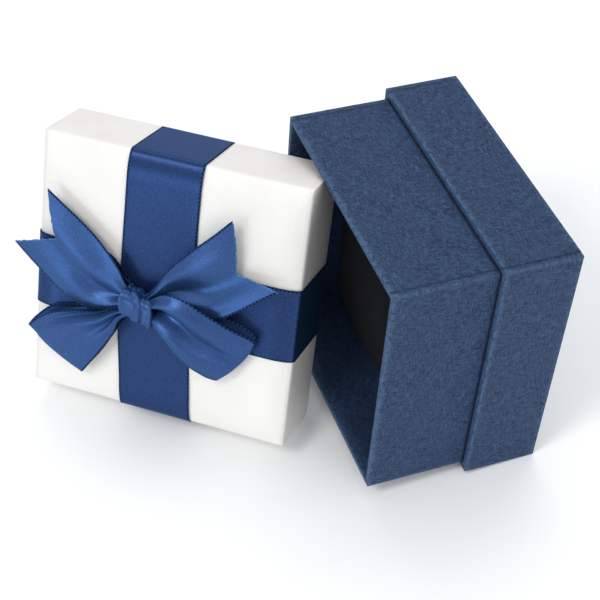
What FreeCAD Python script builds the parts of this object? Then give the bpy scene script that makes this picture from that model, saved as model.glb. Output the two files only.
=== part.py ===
import FreeCAD, Part
# Square shoulder gift box, lying open: a linen-paper base with a tall neck, a padded white lid tied
# with a satin ribbon and bow, and a velvet pad inside the base.
#
# The base lies on its side, tipped back a little because a corner of the lid is tucked under the
# upper wall of its mouth. The lid stands on the lower edge of its rim and leans back.
#
# Base pieces are drawn upright: the origin is the middle of the underside and +Z runs out of the
# mouth. Lid pieces are drawn with the rim at Z = 0 and the padded top at Z = lid_depth. Two
# placements set them down in the shared frame: +Z up, the ground at Z = 0, the base towards +X and
# the lid towards -X, with the origin under the middle of the whole arrangement.
import math
import os

import Sketcher
from FreeCAD import Placement, Rotation, Vector

DIMENSIONS = {
    # the box
    "side": 90.0,              # outside width of the plinth and of the lid
    "paper": 0.2,              # covering paper
    "plinth_height": 25.0,     # depth of the outer tray
    "neck_height": 33.6,       # how far the neck stands above the plinth
    "plinth_board_thick": 2.0,
    "neck_board_thick": 1.5,
    "turn_in": 15.0,           # paper folded over a rim and glued inside
    "tape_leg": 9.0,           # corner tape on each side of a corner
    "tape_thick": 0.1,
    "tape_margin": 1.0,
    # the pad inside the base
    "insert_gap": 0.4,
    "insert_lift": 0.1,        # clearance under the pad
    "insert_top": 41.0,        # height of the pad's face above the underside of the base
    "insert_rounding": 6.0,
    "velvet_thick": 0.6,
    "card_thick": 1.2,
    # the lid
    "lid_depth": 26.2,
    "lid_board_thick": 1.5,
    "padding_thick": 2.4,
    "padding_rounding": 2.2,
    # the ribbon round the lid
    "ribbon_width": 25.0,
    "ribbon_thick": 0.3,
    "ribbon_turn_in": 12.0,
    "upright_ribbon_x": -2.5,
    "level_ribbon_y": -1.0,
    # the bow
    "knot_x": -5.5,
    "knot_y": -1.2,
    "knot_length": 10.5,
    "knot_width": 13.0,
    "knot_thick": 8.5,
    "knot_rounding": 2.5,
    "bow_root_width": 9.0,
    "bow_clearance": 0.4,      # between the bow and the ribbons under it
    "tail_length": 43.0,
    "tail_thick": 1.6,
    "tail_lift": 2.2,          # the tails leave the knot above its foot
    "tail_notch": 8.0,
    "left_tail_heading": 153.0,
    "right_tail_heading": 34.0,
    "loop_length": 38.0,
    "loop_root_thick": 3.0,
    "loop_root_lift": 1.5,
    "loop_thick": 7.0,
    "left_loop_heading": 220.0,
    "right_loop_heading": 337.0,
    # how the two halves lie, in degrees and millimetres
    "base_tip": 4.5,
    "lid_turn": 49.8,
    "lid_lean": 22.0,
    "lid_foot_x": 98.6,        # from the base's lower rear edge to the middle of the lid's lower edge
    "lid_foot_y": 26.6,
    "lid_foot_lift": 0.4,      # the folded ribbon under the lid's rim
}

# Sizes that several pieces share, as expressions on the sheet's cells. @name is a cell.
BASE_HEIGHT = "(@plinth_height + @neck_height)"
PLINTH_FLOOR = "(@paper + @plinth_board_thick)"
PLINTH_BOARD_SIDE = "(@side - 2 * @paper)"
PLINTH_BOARD_HOLLOW = "(@side - 2 * @paper - 2 * @plinth_board_thick)"
NECK_SIDE = "(@side - 4 * @paper - 2 * @plinth_board_thick)"
NECK_BOARD_SIDE = f"({NECK_SIDE} - 2 * @paper)"
NECK_BOARD_HOLLOW = f"({NECK_SIDE} - 2 * @paper - 2 * @neck_board_thick)"
NECK_HOLLOW = f"({NECK_SIDE} - 4 * @paper - 2 * @neck_board_thick)"
PAD_SIDE = f"({NECK_HOLLOW} - 2 * @insert_gap)"
PAD_CORE_SIDE = f"({PAD_SIDE} - 2 * @velvet_thick)"
PAD_BOTTOM = f"({PLINTH_FLOOR} + @paper + @insert_lift)"
LID_BOARD_SIDE = "(@side - 2 * @paper)"
LID_BOARD_HOLLOW = "(@side - 2 * @paper - 2 * @lid_board_thick)"
LID_HOLLOW = "(@side - 4 * @paper - 2 * @lid_board_thick)"
LID_BOARD_TOP = "(@lid_depth - @paper - @padding_thick)"
LID_CEILING = f"({LID_BOARD_TOP} - @lid_board_thick)"
BOW_BOTTOM = "(@lid_depth + 2 * @ribbon_thick + @bow_clearance)"

doc = FreeCAD.newDocument("gift_box")
sheet = doc.addObject("Spreadsheet::Sheet", "Dims")
for row, (alias, number) in enumerate(DIMENSIONS.items(), start=1):
    sheet.set(f"A{row}", alias)
    sheet.set(f"B{row}", str(number))
    sheet.setAlias(f"B{row}", alias)
doc.recompute()


# ---------------------------------------------------------------------------------------------
# Helpers
# ---------------------------------------------------------------------------------------------
def on_sheet(words):
    """An expression that FreeCAD can read: @name becomes a cell of the sheet."""
    return words.replace("@", "Dims.")


def value(words):
    """The number that an expression gives, for the few properties that take no expression."""
    return float(sheet.evalExpression(on_sheet(words)))


def bind(item, **expressions):
    """Binds properties to expressions; Placement__Base__x stands for Placement.Base.x."""
    for name, words in expressions.items():
        item.setExpression(name.replace("__", "."), on_sheet(words))


def block(name, length, width, bottom, top, centre_x="0", centre_y="0"):
    """A box centred on (centre_x, centre_y) between two heights, all given as expressions."""
    made = doc.addObject("Part::Box", name)
    bind(made, Length=length, Width=width, Height=f"{top} - ({bottom})",
         Placement__Base__x=f"{centre_x} - {length} / 2",
         Placement__Base__y=f"{centre_y} - {width} / 2",
         Placement__Base__z=bottom)
    return made


def square(name, side, bottom, top):
    return block(name, f"({side})", f"({side})", bottom, top)


def joined(name, kind, first, second):
    made = doc.addObject(kind, name)
    made.Base, made.Tool = first, second
    return made


def cut(name, base, *tools):
    """base without the tools."""
    tool = tools[0]
    if len(tools) > 1:
        tool = doc.addObject("Part::MultiFuse", f"{name}_tools")
        tool.Shapes = list(tools)
    return joined(name, "Part::Cut", base, tool)


def rounded(name, base, radius, chosen):
    """base with the edges for which chosen(edge) is true rounded."""
    doc.recompute()
    size = value(radius)
    made = doc.addObject("Part::Fillet", name)
    made.Base = base
    made.Edges = [(n, size, size) for n, edge in enumerate(base.Shape.Edges, 1) if chosen(edge)]
    return made


def at_height(words):
    """A test for edges that lie flat at the height an expression gives."""
    height = value(words)

    def chosen(edge):
        box = edge.BoundBox
        return box.ZLength < 1e-6 and abs(box.ZMax - height) < 1e-6

    return chosen


def corner_tapes(name, side, bottom, top):
    """Four L-shaped strips of paper tape that close the corners of a folded board."""
    outer = square(f"{name}_outer", f"{side} + 2 * @tape_thick", bottom, top)
    inner = square(f"{name}_inner", side, bottom, top)
    gap, across = f"({side} - 2 * @tape_leg)", f"({side} + 2)"
    gap_x = block(f"{name}_gap_x", gap, across, bottom, top)
    gap_y = block(f"{name}_gap_y", across, gap, bottom, top)
    return cut(name, outer, inner, gap_x, gap_y)


# ---------------------------------------------------------------------------------------------
# Base: the plinth, which is the outer tray
# ---------------------------------------------------------------------------------------------
def build_plinth():
    board_top = "(@plinth_height - @paper)"
    blank = square("plinth_blank", PLINTH_BOARD_SIDE, "@paper", board_top)
    hollow = square("plinth_hollow", PLINTH_BOARD_HOLLOW, PLINTH_FLOOR, "@plinth_height")
    board = cut("plinth_board_drawn", blank, hollow)

    tapes = corner_tapes("plinth_tapes_drawn", PLINTH_BOARD_SIDE,
                         "@paper + @tape_margin", f"{board_top} - @tape_margin")

    skin = square("plinth_skin", "@side", "0", "@plinth_height")
    mouth = square("plinth_mouth", NECK_SIDE, PLINTH_FLOOR, "@plinth_height")
    below_fold = square("plinth_below_fold", PLINTH_BOARD_HOLLOW, PLINTH_FLOOR,
                        "@plinth_height - @turn_in")
    wrap = cut("plinth_wrap_drawn", skin, board, tapes, mouth, below_fold)
    return {"plinth_board": board, "plinth_corner_tapes": tapes, "plinth_wrap": wrap}


# ---------------------------------------------------------------------------------------------
# Base: the neck, a collar glued inside the plinth, and the sheet on the floor
# ---------------------------------------------------------------------------------------------
def build_neck():
    board_top = f"({BASE_HEIGHT} - @paper)"
    blank = square("neck_blank", NECK_BOARD_SIDE, PLINTH_FLOOR, board_top)
    hollow = square("neck_board_hollow", NECK_BOARD_HOLLOW, PLINTH_FLOOR, board_top)
    board = cut("neck_board_drawn", blank, hollow)

    tapes = corner_tapes("neck_tapes_drawn", NECK_BOARD_SIDE,
                         f"{PLINTH_FLOOR} + @tape_margin", f"{board_top} - @tape_margin")

    skin = square("neck_skin", NECK_SIDE, PLINTH_FLOOR, BASE_HEIGHT)
    inside = square("neck_inside", NECK_HOLLOW, PLINTH_FLOOR, BASE_HEIGHT)
    wrap = cut("neck_wrap_drawn", skin, board, tapes, inside)

    lining = square("floor_lining_drawn", f"{NECK_HOLLOW} - @insert_gap", PLINTH_FLOOR,
                    f"{PLINTH_FLOOR} + @paper")
    return {"neck_board": board, "neck_corner_tapes": tapes, "neck_wrap": wrap,
            "floor_lining": lining}


# ---------------------------------------------------------------------------------------------
# Insert: foam on a card, covered with velvet
# ---------------------------------------------------------------------------------------------
def build_insert():
    card_top = f"({PAD_BOTTOM} + @card_thick)"
    foam_top = "(@insert_top - @velvet_thick)"
    card = square("insert_card_drawn", PAD_CORE_SIDE, PAD_BOTTOM, card_top)
    foam_blank = square("foam_blank", PAD_CORE_SIDE, card_top, foam_top)
    foam = rounded("insert_foam_drawn", foam_blank, "@insert_rounding - @velvet_thick",
                   at_height(foam_top))
    cover_blank = square("cover_blank", PAD_SIDE, PAD_BOTTOM, "@insert_top")
    cover = rounded("cover_skin", cover_blank, "@insert_rounding", at_height("@insert_top"))
    velvet = cut("insert_velvet_drawn", cover, card, foam)
    return {"insert_card": card, "insert_foam": foam, "insert_velvet": velvet}


# ---------------------------------------------------------------------------------------------
# Lid: a board tray, its padding, its white paper and its lining
# ---------------------------------------------------------------------------------------------
def lid_outside(name, grown):
    """The outside of the lid, grown by an expression on every side."""
    top = f"(@lid_depth + {grown})"
    blank = square(f"{name}_blank", f"@side + 2 * {grown}", f"-1 * {grown}", top)
    return rounded(name, blank, f"@padding_rounding + @paper + {grown}", at_height(top))


def build_lid():
    blank = square("lid_blank", LID_BOARD_SIDE, "@paper", LID_BOARD_TOP)
    hollow = square("lid_board_hollow", LID_BOARD_HOLLOW, "0", LID_CEILING)
    board = cut("lid_board_drawn", blank, hollow)

    tapes = corner_tapes("lid_tapes_drawn", LID_BOARD_SIDE,
                         "@paper + @tape_margin", f"{LID_BOARD_TOP} - @tape_margin")

    padding_top = "(@lid_depth - @paper)"
    padding_blank = square("padding_blank", LID_BOARD_SIDE, LID_BOARD_TOP, padding_top)
    padding = rounded("lid_padding_drawn", padding_blank, "@padding_rounding",
                      at_height(padding_top))

    skin = lid_outside("lid_skin", "0")
    mouth = square("lid_mouth", LID_HOLLOW, "0", LID_CEILING)
    above_fold = square("lid_above_fold", LID_BOARD_HOLLOW, "@turn_in", LID_CEILING)
    wrap = cut("lid_wrap_drawn", skin, board, tapes, padding, mouth, above_fold)

    lining = square("lid_lining_drawn", f"{LID_BOARD_HOLLOW} - @insert_gap",
                    f"{LID_CEILING} - @paper", LID_CEILING)
    return {"lid_board": board, "lid_corner_tapes": tapes, "lid_padding": padding,
            "lid_wrap": wrap, "lid_lining": lining}


# ---------------------------------------------------------------------------------------------
# Ribbon: two bands that cross on the lid, folded over its rim and glued inside
# ---------------------------------------------------------------------------------------------
def ribbon_band(name, slab):
    """The ribbon that a slab cuts from a sleeve over the lid's outside, rim and inside edge."""
    outside = lid_outside(f"{name}_outside", "@ribbon_thick")
    filled = lid_outside(f"{name}_filled", "0")
    mouth = square(f"{name}_mouth", LID_HOLLOW, "0", LID_CEILING)
    walls = cut(f"{name}_walls", filled, mouth)
    free = square(f"{name}_free", f"{LID_HOLLOW} - 2 * @ribbon_thick", "-1", "@ribbon_turn_in")
    above = square(f"{name}_above", LID_HOLLOW, "@ribbon_turn_in", LID_CEILING)
    sleeve = cut(f"{name}_sleeve", outside, walls, free, above)
    return joined(name, "Part::Common", sleeve, slab)


def build_ribbons():
    low, high, long = "-1", "(@lid_depth + 1)", "(@side + 4)"
    upright_slab = block("upright_slab", "@ribbon_width", long, low, high,
                         centre_x="@upright_ribbon_x")
    upright = ribbon_band("ribbon_upright_drawn", upright_slab)

    level_slab = block("level_slab", long, "@ribbon_width", low, high, centre_y="@level_ribbon_y")
    flat = ribbon_band("level_band", level_slab)
    bridge = block("level_bridge", "(@ribbon_width + 2 * @ribbon_thick)", "@ribbon_width",
                   "@lid_depth", "(@lid_depth + 2 * @ribbon_thick)",
                   centre_x="@upright_ribbon_x", centre_y="@level_ribbon_y")
    whole = joined("level_whole", "Part::Fuse", flat, bridge)
    level = cut("ribbon_level_drawn", whole, upright)
    return {"ribbon_upright": upright, "ribbon_level": level}


# ---------------------------------------------------------------------------------------------
# Bow: two loops and two swallow-tailed ends, held by a knot
# ---------------------------------------------------------------------------------------------
def place_in_bow(piece, heading, bottom):
    """Sets a piece that runs along its own X on the bow, pointing heading degrees round."""
    bind(piece, Placement__Base__x="@knot_x", Placement__Base__y="@knot_y",
         Placement__Base__z=bottom, Placement__Rotation__Angle=heading)


def tail_blank(name, heading):
    """A ribbon end that widens from the knot and is cut to a swallow tail."""
    body = doc.addObject("PartDesign::Body", name)
    outline = body.newObject("Sketcher::SketchObject", f"{name}_outline")
    plane = next(f for f in body.Origin.OriginFeatures if f.Role == "XY_Plane")
    outline.AttachmentSupport = [(plane, "")]
    outline.MapMode = "FlatFace"
    corners = {"low_root": ("0", "-@bow_root_width / 2"),
               "low_tip": ("@tail_length", "-@ribbon_width / 2"),
               "notch": ("@tail_length - @tail_notch", "0"),
               "high_tip": ("@tail_length", "@ribbon_width / 2"),
               "high_root": ("0", "@bow_root_width / 2")}
    points = [Vector(value(x), value(y), 0) for x, y in corners.values()]
    lines = [Part.LineSegment(start, end) for start, end in zip(points, points[1:] + points[:1])]
    outline.addGeometry(lines, False)
    for line in range(len(lines)):
        following = (line + 1) % len(lines)
        outline.addConstraint(Sketcher.Constraint("Coincident", line, 2, following, 1))
    for line, (corner, places) in enumerate(corners.items()):
        for direction, words in zip(("DistanceX", "DistanceY"), places):
            label = f"{corner}_{direction[-1].lower()}"
            number = outline.addConstraint(
                Sketcher.Constraint(direction, -1, 1, line, 1, value(words)))
            outline.renameConstraint(number, label)
            outline.setExpression(f"Constraints.{label}", on_sheet(words))
    pad = body.newObject("PartDesign::Pad", f"{name}_pad")
    pad.Profile = outline
    bind(pad, Length="@tail_thick")
    place_in_bow(body, heading, f"{BOW_BOTTOM} + @tail_lift")
    return body


def loop_blank(name, heading):
    """A loop drawn as the closed wedge it fills, narrow at the knot and full at its fold."""
    wedge = doc.addObject("Part::Wedge", name)
    bind(wedge, Ymin="0", Ymax="@loop_length",
         Xmin="-@bow_root_width / 2", Xmax="@bow_root_width / 2",
         X2min="-@ribbon_width / 2", X2max="@ribbon_width / 2",
         Zmin="@loop_root_lift", Zmax="@loop_root_lift + @loop_root_thick",
         Z2min="0", Z2max="@loop_thick")
    place_in_bow(wedge, f"{heading} - 90", BOW_BOTTOM)
    return wedge


def build_bow():
    knot_top = f"({BOW_BOTTOM} + @knot_thick)"
    knot_blank = block("knot_blank", "@knot_length", "@knot_width", BOW_BOTTOM, knot_top,
                       centre_x="@knot_x", centre_y="@knot_y")
    knot = rounded("knot_drawn", knot_blank, "@knot_rounding", lambda edge: True)
    bow = {"bow_knot": knot}
    for end, blank_of in (("tail", tail_blank), ("loop", loop_blank)):
        for side in ("left", "right"):
            blank = blank_of(f"{side}_{end}", f"@{side}_{end}_heading")
            bow[f"bow_{side}_{end}"] = cut(f"{side}_{end}_drawn", blank, *bow.values())
    return bow


# ---------------------------------------------------------------------------------------------
# Where the two halves lie
# ---------------------------------------------------------------------------------------------
def placement_from_axes(origin, x_axis, y_axis, z_axis):
    return Placement(FreeCAD.Matrix(x_axis.x, y_axis.x, z_axis.x, origin.x,
                                    x_axis.y, y_axis.y, z_axis.y, origin.y,
                                    x_axis.z, y_axis.z, z_axis.z, origin.z,
                                    0, 0, 0, 1))


def lying_base():
    """On its side with the mouth towards -X, tipped back on its lower rear edge."""
    tip = math.radians(value("@base_tip"))
    out_of_mouth = Vector(-math.cos(tip), 0, math.sin(tip))
    upper_side = Vector(math.sin(tip), 0, math.cos(tip))
    near_side = Vector(0, -1, 0)
    return placement_from_axes(upper_side * value("@side / 2"), near_side, upper_side,
                               out_of_mouth)


def leaning_lid():
    """On the lower edge of its rim, turned about the vertical and leaning back."""
    turn, lean = math.radians(value("@lid_turn")), math.radians(value("@lid_lean"))
    forward = Vector(-math.cos(turn), -math.sin(turn), 0)
    along = Vector(math.sin(turn), -math.cos(turn), 0)
    up = Vector(0, 0, 1)
    face = forward * math.cos(lean) + up * math.sin(lean)
    rise = up * math.cos(lean) - forward * math.sin(lean)
    foot = Vector(value("-@lid_foot_x"), value("@lid_foot_y"), value("@lid_foot_lift"))
    return placement_from_axes(foot + rise * value("@side / 2"), along, rise, face)


def set_down(drawn, placement):
    """Makes each drawn piece a sub-part of its own, which carries its name and its placement."""
    made = []
    for label, piece in drawn.items():
        part = doc.addObject("Part::Refine", label)
        part.Label = label
        part.Source = piece
        part.Placement = placement
        made.append(part)
    return made


def centre_over_origin(parts):
    """Moves the sub-parts together, so that the origin lies under the middle of them all."""
    around = FreeCAD.BoundBox()
    for part in parts:
        around.add(part.Shape.optimalBoundingBox())
    shift = Vector(-around.Center.x, -around.Center.y, -around.ZMin)
    for part in parts:
        part.Placement = Placement(shift, Rotation()).multiply(part.Placement)


def check_document():
    for item in doc.Objects:
        bad = {"Invalid", "Error"} & set(item.State)
        if bad:
            raise RuntimeError(f"{item.Label} is {sorted(bad)}")


def write_parts(parts):
    os.makedirs("parts", exist_ok=True)
    for part in parts:
        shape = part.Shape
        if shape.isNull() or not shape.isValid() or not shape.Solids:
            raise RuntimeError(f"{part.Label} has no valid solid")
        shape.exportStep(f"parts/{part.Label}.step")
        print(f"{part.Label}: {len(shape.Solids)} solid, {shape.Volume:.1f} mm3")


base_parts = set_down({**build_plinth(), **build_neck(), **build_insert()}, lying_base())
lid_parts = set_down({**build_lid(), **build_ribbons(), **build_bow()}, leaning_lid())
all_parts = base_parts + lid_parts
doc.recompute()
centre_over_origin(all_parts)
doc.recompute()
check_document()
write_parts(all_parts)
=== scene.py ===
import math

import bpy
import numpy as np
from mathutils import Matrix, Vector


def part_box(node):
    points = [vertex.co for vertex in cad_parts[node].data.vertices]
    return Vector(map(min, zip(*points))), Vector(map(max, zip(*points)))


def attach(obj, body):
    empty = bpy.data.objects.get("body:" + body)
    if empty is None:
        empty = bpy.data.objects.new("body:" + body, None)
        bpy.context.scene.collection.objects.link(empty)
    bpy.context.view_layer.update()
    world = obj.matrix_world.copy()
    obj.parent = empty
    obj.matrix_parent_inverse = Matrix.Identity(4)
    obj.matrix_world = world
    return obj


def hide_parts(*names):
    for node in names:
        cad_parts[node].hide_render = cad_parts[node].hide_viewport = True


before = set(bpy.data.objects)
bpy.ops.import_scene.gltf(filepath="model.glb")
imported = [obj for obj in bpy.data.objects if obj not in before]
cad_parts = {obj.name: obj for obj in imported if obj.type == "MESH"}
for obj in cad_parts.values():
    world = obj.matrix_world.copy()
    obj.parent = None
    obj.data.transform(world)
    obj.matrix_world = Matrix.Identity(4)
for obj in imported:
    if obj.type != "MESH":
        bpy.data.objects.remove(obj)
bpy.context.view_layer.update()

# Lengths are millimetres in each half's own frame, and become metres in the shared one.
MM = 0.001

# The box, as it is drawn before it is set down
HALF = 45.0                 # half the width of the plinth and of the lid
PLINTH_HEIGHT = 25.0
BASE_HEIGHT = 58.6
NECK_HALF = 42.6
NECK_INNER_HALF = 40.7
LINING_HEIGHT_BASE = 2.3    # of the middle of the floor lining above the underside
LID_DEPTH = 26.2
LID_INNER_HALF = 43.1
LINING_HEIGHT_LID = 22.0    # of the middle of the ceiling lining above the rim
TURN_IN = 15.0
LAP = 2.0                   # how far round a corner the covering under the lap comes
EDGE = 0.2                  # radius of a paper-covered board edge
COVERING = 0.16             # thickness of the covering papers

# How the two halves lie
BASE_TIP = math.radians(4.5)
LID_TURN = math.radians(49.8)
LID_LEAN = math.radians(22.0)

RIBBON_WIDTH = 25.0
RIBBON_THICK = 0.28
PICOT = 1.3                 # spacing of the selvage's stitches
SCALLOP = 0.10              # how far the selvage stands out between two stitches
SELVAGE = 0.80              # width of the stitched selvage
FRAY = 0.9                  # how far a cut end is frayed pale

# Where the ribbons lie on the lid, in its own frame
UPRIGHT_X = -2.5            # of the upright band's middle, at the lid's upper edge
LEVEL_Y = -1.0              # of the level band's middle, at the lid's right edge
KNOT = (-5.6, -4.2, 4.9)    # middle of the knot: x, y and height above the lid
KNOT_HALF_HIGH = 4.7        # up the lid
KNOT_HALF_DEEP = 4.3        # off the lid
KNOT_WIDTH = 9.8

random = np.random.default_rng(7)


# ---------------------------------------------------------------------------------------------
# The two halves' own frames
# ---------------------------------------------------------------------------------------------
def half_frame(x_axis, y_axis, z_axis, lining, lining_height):
    """The matrix of a half, whose origin is found from the middle of its square lining."""
    low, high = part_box(lining)
    origin = (low + high) / 2 - z_axis * lining_height * MM
    matrix = Matrix((x_axis, y_axis, z_axis)).transposed().to_4x4()
    matrix.translation = origin
    return matrix


def base_frame():
    mouth = Vector((-math.cos(BASE_TIP), 0, math.sin(BASE_TIP)))
    upper = Vector((math.sin(BASE_TIP), 0, math.cos(BASE_TIP)))
    return half_frame(Vector((0, -1, 0)), upper, mouth, "floor_lining", LINING_HEIGHT_BASE)


def lid_frame():
    forward = Vector((-math.cos(LID_TURN), -math.sin(LID_TURN), 0))
    along = Vector((math.sin(LID_TURN), -math.cos(LID_TURN), 0))
    up = Vector((0, 0, 1))
    face = forward * math.cos(LID_LEAN) + up * math.sin(LID_LEAN)
    rise = up * math.cos(LID_LEAN) - forward * math.sin(LID_LEAN)
    return half_frame(along, rise, face, "lid_lining", LINING_HEIGHT_LID)


BASE = base_frame()
LID = lid_frame()


# ---------------------------------------------------------------------------------------------
# Camera, lights and floor
# ---------------------------------------------------------------------------------------------
CAMERA_FROM_EDGE = Vector((-0.16831, -0.30234, 0.39224))   # from the base's lower rear edge
CAMERA_AZIMUTH = math.radians(18.94)
CAMERA_ELEVATION = math.radians(46.59)
CAMERA_ROLL = math.radians(1.61)
LENS = 88.77


def make_camera():
    data = bpy.data.cameras.new("camera")
    data.lens = LENS
    data.sensor_width = 36.0
    data.clip_start, data.clip_end = 0.05, 20.0
    camera = bpy.data.objects.new("camera", data)
    bpy.context.scene.collection.objects.link(camera)
    forward = Vector((math.sin(CAMERA_AZIMUTH) * math.cos(CAMERA_ELEVATION),
                      math.cos(CAMERA_AZIMUTH) * math.cos(CAMERA_ELEVATION),
                      -math.sin(CAMERA_ELEVATION)))
    level = Vector((math.cos(CAMERA_AZIMUTH), -math.sin(CAMERA_AZIMUTH), 0))
    right = Matrix.Rotation(CAMERA_ROLL, 3, forward) @ level
    turn = Matrix((right, right.cross(forward), -forward)).transposed().to_4x4()
    edge = BASE @ Vector((0, -HALF * MM, 0))
    turn.translation = edge + CAMERA_FROM_EDGE
    camera.matrix_world = turn
    bpy.context.scene.camera = camera


def make_light(name, place, aim, size, power, color):
    data = bpy.data.lights.new(name, "AREA")
    data.shape = "DISK"
    data.size = size
    data.energy = power
    data.color = color
    light = bpy.data.objects.new(name, data)
    bpy.context.scene.collection.objects.link(light)
    light.location = place
    light.rotation_euler = (Vector(aim) - Vector(place)).to_track_quat("-Z", "Y").to_euler()


def make_stage():
    """Soft studio light, and a pale floor."""
    bpy.context.scene.view_settings.view_transform = "Standard"
    world = bpy.data.worlds.new("world")
    bpy.context.scene.world = world
    world.use_nodes = True
    background = world.node_tree.nodes["Background"]
    background.inputs["Color"].default_value = (0.93, 0.96, 1.0, 1)
    background.inputs["Strength"].default_value = 0.72
    make_light("key", (-0.62, -0.30, 0.95), (0, 0, 0.04), 0.36, 3.9, (1.0, 0.98, 0.95))
    make_light("fill", (0.25, -0.9, 0.45), (0, 0, 0.04), 0.7, 2.3, (0.97, 0.98, 1.0))
    make_light("low", (-1.16, -0.42, 0.20), (-0.04, 0, 0.05), 0.30, 2.1, (0.74, 0.93, 1.0))
    make_light("top", (0.30, 0.45, 1.0), (0.03, 0, 0.04), 0.8, 3.4, (1.0, 1.0, 1.0))
    bpy.ops.mesh.primitive_plane_add(size=6.0)
    floor = bpy.context.object
    floor.name = "floor"
    material, tree, shader = new_material("floor", (0.93, 0.93, 0.93), 0.9)
    coordinates = add(tree, "ShaderNodeTexCoord").outputs["Object"]
    mottle = noise(tree, coordinates, 6.0, 2.0)
    tint = ramp(tree, mottle, (0.35, (0.925, 0.925, 0.925)), (0.65, (0.94, 0.94, 0.935)))
    link(tree, tint, shader.inputs["Base Color"])
    floor.data.materials.append(material)


# ---------------------------------------------------------------------------------------------
# Material helpers
# ---------------------------------------------------------------------------------------------
def link(tree, output, socket):
    tree.links.new(output, socket)


def new_material(name, color, roughness):
    material = bpy.data.materials.new(name)
    material.use_nodes = True
    tree = material.node_tree
    shader = tree.nodes["Principled BSDF"]
    shader.inputs["Base Color"].default_value = (*color, 1)
    shader.inputs["Roughness"].default_value = roughness
    return material, tree, shader


def add(tree, kind, inputs=None, **settings):
    """A node with its settings; inputs are numbers, or outputs of other nodes to link."""
    node = tree.nodes.new(kind)
    for name, setting in settings.items():
        setattr(node, name, setting)
    for name, wanted in (inputs or {}).items():
        if isinstance(wanted, bpy.types.NodeSocket):
            link(tree, wanted, node.inputs[name])
        else:
            node.inputs[name].default_value = wanted
    return node


def stretched(tree, vector, scale):
    return add(tree, "ShaderNodeMapping", {"Vector": vector, "Scale": scale}).outputs["Vector"]


def noise(tree, vector, scale, detail=2.0, rough=0.5):
    node = add(tree, "ShaderNodeTexNoise",
               {"Vector": vector, "Scale": scale, "Detail": detail, "Roughness": rough})
    return node.outputs["Fac"]


def threads(tree, uv, scale, low, high, rough=0.5):
    """Short threads that all run one way: scale is how fast they change along u and along v."""
    return step(tree, noise(tree, stretched(tree, uv, (*scale, 1)), 1.0, 1.0, rough), low, high)


def maths(tree, operation, first, second=0.5, third=0.5):
    node = add(tree, "ShaderNodeMath", {0: first, 1: second, 2: third}, operation=operation)
    return node.outputs["Value"]


def step(tree, level, low, high):
    """0 below low, 1 above high, smooth between."""
    node = add(tree, "ShaderNodeMapRange",
               {"Value": level, "From Min": low, "From Max": high},
               interpolation_type="SMOOTHSTEP")
    return node.outputs["Result"]


def ramp(tree, level, *stops):
    node = add(tree, "ShaderNodeValToRGB", {"Fac": level})
    elements = node.color_ramp.elements
    while len(elements) < len(stops):
        elements.new(0.5)
    for element, (position, color) in zip(elements, stops):
        element.position = position
        element.color = (*color, 1)
    return node.outputs["Color"]


def blended(tree, level, first, second):
    """first where level is 0, second where it is 1; each a colour or an output."""
    node = add(tree, "ShaderNodeMix", {"Factor": level}, data_type="RGBA")
    for socket, wanted in ((node.inputs[6], first), (node.inputs[7], second)):
        if isinstance(wanted, bpy.types.NodeSocket):
            link(tree, wanted, socket)
        else:
            socket.default_value = (*wanted, 1)
    return node.outputs[2]


def relief(tree, shader, height, distance, strength=1.0):
    """Bumps of that height in metres."""
    bump = add(tree, "ShaderNodeBump", {"Height": height, "Distance": distance,
                                        "Strength": strength})
    link(tree, bump.outputs["Normal"], shader.inputs["Normal"])


def attribute(tree, name):
    return add(tree, "ShaderNodeAttribute", attribute_name=name).outputs["Fac"]


def uv_in_mm(tree):
    return add(tree, "ShaderNodeUVMap", uv_map="UVMap").outputs["UV"]


def object_in_mm(tree):
    """The piece's own coordinates in millimetres."""
    coordinates = add(tree, "ShaderNodeTexCoord").outputs["Object"]
    return stretched(tree, coordinates, (1000, 1000, 1000))


# ---------------------------------------------------------------------------------------------
# Materials
# ---------------------------------------------------------------------------------------------
def linen_paper(name, body, thread, pale_colour):
    """Paper embossed like linen: short dark and pale threads both ways.

    The piece's pale_and_shade is above 0 where the paper is paler in patches and below 0 for painted
    shade.
    """
    material, tree, shader = new_material(name, body, 0.62)
    shader.inputs["Specular IOR Level"].default_value = 0.22
    uv = uv_in_mm(tree)
    dark_along = threads(tree, uv, (0.34, 3.9), 0.49, 0.61, 0.75)
    dark_across = threads(tree, uv, (3.9, 0.34), 0.50, 0.62, 0.75)
    patches = step(tree, noise(tree, uv, 0.12, 3.0), 0.35, 0.7)
    marks = maths(tree, "MULTIPLY", maths(tree, "MAXIMUM", dark_along, dark_across),
                  maths(tree, "MULTIPLY_ADD", patches, 0.2, 0.70))
    pale_along = threads(tree, uv, (0.30, 3.5), 0.52, 0.64)
    pale_across = threads(tree, uv, (3.5, 0.30), 0.52, 0.64)
    slubs = maths(tree, "MAXIMUM", pale_along, pale_across)
    ground = blended(tree, maths(tree, "MULTIPLY", slubs, 0.38), body, pale_colour)
    woven = blended(tree, marks, ground, thread)
    pale_and_shade = attribute(tree, "pale_and_shade")
    pale_and_shade_level = maths(tree, "MULTIPLY", pale_and_shade, step(tree, noise(tree, uv, 0.7, 3.0), 0.25, 0.6))
    pale = step(tree, pale_and_shade_level, 0.0, 1.6)
    # Below 0, a dark navy is mixed in as painted shade.
    deep = step(tree, maths(tree, "MULTIPLY", pale_and_shade, -1.0), 0.0, 1.2)
    color = blended(tree, deep, blended(tree, pale, woven, pale_colour), (0.005, 0.011, 0.032))
    link(tree, color, shader.inputs["Base Color"])
    link(tree, maths(tree, "MULTIPLY_ADD", marks, 0.14, 0.56), shader.inputs["Roughness"])
    relief(tree, shader, maths(tree, "SUBTRACT", slubs, marks), 0.00008)
    return material


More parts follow.
